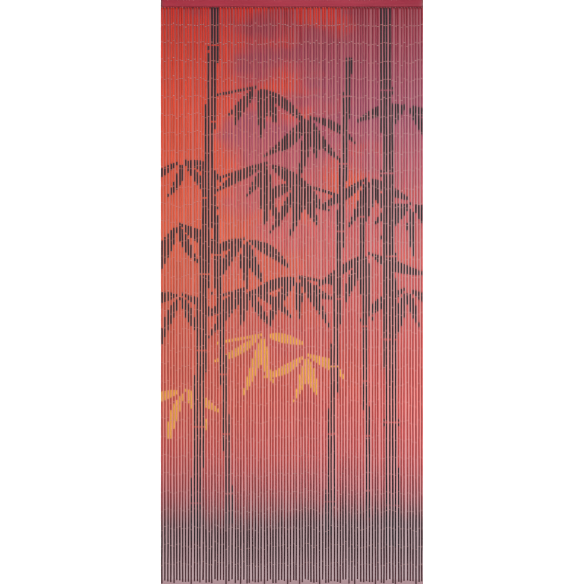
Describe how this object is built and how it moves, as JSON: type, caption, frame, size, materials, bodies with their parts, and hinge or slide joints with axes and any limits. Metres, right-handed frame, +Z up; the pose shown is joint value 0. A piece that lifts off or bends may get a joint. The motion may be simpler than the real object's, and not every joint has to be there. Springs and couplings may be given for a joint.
{
  "type": "bamboo door curtain on a wooden slat",
  "caption": "Door curtain of hanging strands of painted bamboo tubes on a wooden slat, which is fixed under a lintel or against the wall above a doorway.",
  "frame": {"origin": "middle of the slat's top face, where the lintel or the hooks carry the curtain", "axes": "+X along the slat to the right as seen from the front, +Y to the back, +Z up; the strands hang along -Z"},
  "size_m": [0.9, 0.012, 2.0089],
  "materials": {
    "slat_paint": "crimson satin paint over planed softwood",
    "painted_bamboo": "bamboo tubes with a satin coat of paint in orange, red, mauve, gold and near-black",
    "wire": "thin galvanised steel wire, bent into linked eyes"
  },
  "bodies": {
    "root": {"slat": "slat_paint", "strands": "painted_bamboo"}
  },
  "joints": []
}
